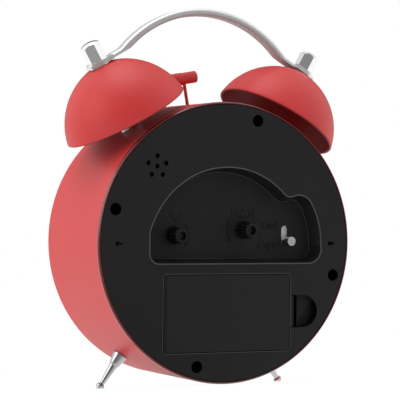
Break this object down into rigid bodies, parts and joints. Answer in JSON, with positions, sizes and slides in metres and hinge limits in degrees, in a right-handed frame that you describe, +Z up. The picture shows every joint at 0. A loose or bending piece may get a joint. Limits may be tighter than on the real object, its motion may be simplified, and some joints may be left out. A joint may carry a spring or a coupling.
{
  "type": "twin-bell alarm clock",
  "caption": "Round drum alarm clock with two bells and a hammer on top, an arched carrying handle, splayed feet and a rear cover with setting knobs and a battery door.",
  "frame": {"origin": "on the floor below the middle of the clock's bounding box", "axes": "+Z up, +Y from the dial towards the rear cover, +X to the right seen from the dial; the drum's axis leans back 6 degrees from level"},
  "size_m": [0.1212, 0.0674, 0.1582],
  "materials": {
    "red_paint": "semi-gloss red coat",
    "red_bell": "semi-gloss red coat",
    "bright_steel": "bright plated",
    "handle_steel": "satin, brushed along the bar",
    "plain_steel": "plain bright steel",
    "black_plastic": "fine moulded grain",
    "knob_plastic": "polished black",
    "white_plastic": "white moulding",
    "gear_plastic": "natural acetal",
    "works_plastic": "grey moulding",
    "dial_paint": "printed matt white",
    "hand_paint": "black enamel",
    "alarm_paint": "red enamel",
    "clear": "clear flat",
    "cell_wrap": "printed sleeve",
    "spring_wire": "nickel plated wire",
    "copper_coil": "enamelled copper winding",
    "board_green": "solder-resist board",
    "lead_cover": "soft insulation",
    "magnet": "sintered magnet"
  },
  "bodies": {
    "case": {"case_drum": "red_paint", "bell_left": "red_bell", "bell_right": "red_bell", "handle": "handle_steel", "foot_left": "bright_steel", "foot_right": "bright_steel", "bell_posts": "bright_steel", "bell_washers": "bright_steel", "cap_nuts": "bright_steel", "post_saddles": "bright_steel", "inner_nuts": "plain_steel", "pivot_pin": "plain_steel", "return_spring": "spring_wire", "striker_bracket": "plain_steel", "striker_bobbin": "white_plastic", "striker_coil": "copper_coil", "cover_screws": "plain_steel", "small_screws": "plain_steel", "rear_cover": "black_plastic", "switch_body": "black_plastic", "circuit_board": "board_green", "sounder": "knob_plastic", "leads": "lead_cover", "battery_upper": "cell_wrap", "battery_lower": "cell_wrap", "contact_link": "spring_wire", "contact_pair": "spring_wire", "contact_springs": "spring_wire", "front_lens": "clear", "dial_ring": "black_plastic", "dial": "dial_paint", "chassis": "black_plastic", "movement_case": "works_plastic", "movement_lid": "works_plastic", "train_plate": "works_plastic", "motor_stator": "plain_steel", "motor_coil": "copper_coil"},
    "minutes": {"minute_pinion": "gear_plastic", "minute_hand": "hand_paint"},
    "hours": {"hour_wheel": "gear_plastic", "hour_hand": "hand_paint"},
    "minute_reduction": {"minute_wheel": "gear_plastic"},
    "time_setter": {"time_shaft": "gear_plastic", "time_knob": "knob_plastic"},
    "alarm_index": {"alarm_wheel": "gear_plastic", "alarm_hand": "alarm_paint"},
    "alarm_setter": {"alarm_shaft": "gear_plastic", "alarm_knob": "knob_plastic"},
    "seconds": {"second_wheel": "gear_plastic", "second_hand": "alarm_paint"},
    "third": {"third_wheel": "gear_plastic"},
    "centre": {"centre_wheel": "gear_plastic"},
    "motor_gear": {"motor_wheel": "gear_plastic"},
    "rotor": {"motor_rotor": "magnet"},
    "hammer": {"hammer_arm": "red_paint", "hammer_head": "red_paint"},
    "alarm_switch": {"switch_slider": "white_plastic", "switch_pin": "bright_steel"},
    "door": {"battery_door": "black_plastic"}
  },
  "joints": [
    {"name": "minute_turn", "type": "hinge", "parent": "case", "child": "minutes", "pos_m": [0, -0.02044, 0.06259], "axis": [0, 0.9945, -0.1045], "continuous": true},
    {"name": "hour_turn", "type": "hinge", "parent": "case", "child": "hours", "pos_m": [0, -0.01925, 0.06246], "axis": [0, 0.9945, -0.1045], "continuous": true},
    {"name": "minute_wheel_turn", "type": "hinge", "parent": "case", "child": "minute_reduction", "pos_m": [0.0114, -0.0092, 0.05764], "axis": [0, 0.9945, -0.1045], "continuous": true},
    {"name": "time_knob_turn", "type": "hinge", "parent": "case", "child": "time_setter", "pos_m": [0.0214, 0.02153, 0.06109], "axis": [0, 0.9945, -0.1045], "continuous": true},
    {"name": "alarm_hand_turn", "type": "hinge", "parent": "case", "child": "alarm_index", "pos_m": [0, -0.01806, 0.06233], "axis": [0, 0.9945, -0.1045], "continuous": true},
    {"name": "alarm_knob_turn", "type": "hinge", "parent": "case", "child": "alarm_setter", "pos_m": [-0.01081, 0.02177, 0.06338], "axis": [0, 0.9945, -0.1045], "continuous": true},
    {"name": "second_turn", "type": "hinge", "parent": "case", "child": "seconds", "pos_m": [0, -0.02164, 0.06271], "axis": [0, 0.9945, -0.1045], "continuous": true},
    {"name": "third_turn", "type": "hinge", "parent": "case", "child": "third", "pos_m": [0, -0.00259, 0.06795], "axis": [0, 0.9945, -0.1045], "continuous": true},
    {"name": "centre_turn", "type": "hinge", "parent": "case", "child": "centre", "pos_m": [0, -0.00582, 0.06105], "axis": [0, 0.9945, -0.1045], "continuous": true},
    {"name": "motor_wheel_turn", "type": "hinge", "parent": "case", "child": "motor_gear", "pos_m": [-0.00122, -0.00127, 0.05364], "axis": [0, 0.9945, -0.1045], "continuous": true},
    {"name": "rotor_turn", "type": "hinge", "parent": "case", "child": "rotor", "pos_m": [-0.00226, -0.00587, 0.04818], "axis": [0, 0.9945, -0.1045], "continuous": true},
    {"name": "hammer_swing", "type": "hinge", "parent": "case", "child": "hammer", "pos_m": [0, 0.00076, 0.09304], "axis": [0, 0.9945, -0.1045], "range_deg": [-22.4, 0.9], "stiffness_Nm_per_rad": 0.004},
    {"name": "alarm_switch_slide", "type": "slide", "parent": "case", "child": "alarm_switch", "axis": [0, 0.1045, 0.9945], "range_m": [0, 0.0048]},
    {"name": "battery_door_turn", "type": "hinge", "parent": "case", "child": "door", "pos_m": [0.028, 0.02224, 0.02909], "axis": [0, -0.1045, -0.9945], "range_deg": [0, 75]}
  ],
  "couplings": [
    {"joint": "hour_turn", "follows": "minute_turn", "ratio": 0.083333},
    {"joint": "minute_wheel_turn", "follows": "minute_turn", "ratio": -0.33333},
    {"joint": "time_knob_turn", "follows": "minute_turn", "ratio": 1},
    {"joint": "alarm_knob_turn", "follows": "alarm_hand_turn", "ratio": -4},
    {"joint": "third_turn", "follows": "second_turn", "ratio": -0.125},
    {"joint": "centre_turn", "follows": "second_turn", "ratio": 0.016667},
    {"joint": "motor_wheel_turn", "follows": "second_turn", "ratio": -6},
    {"joint": "rotor_turn", "follows": "second_turn", "ratio": 30}
  ]
}
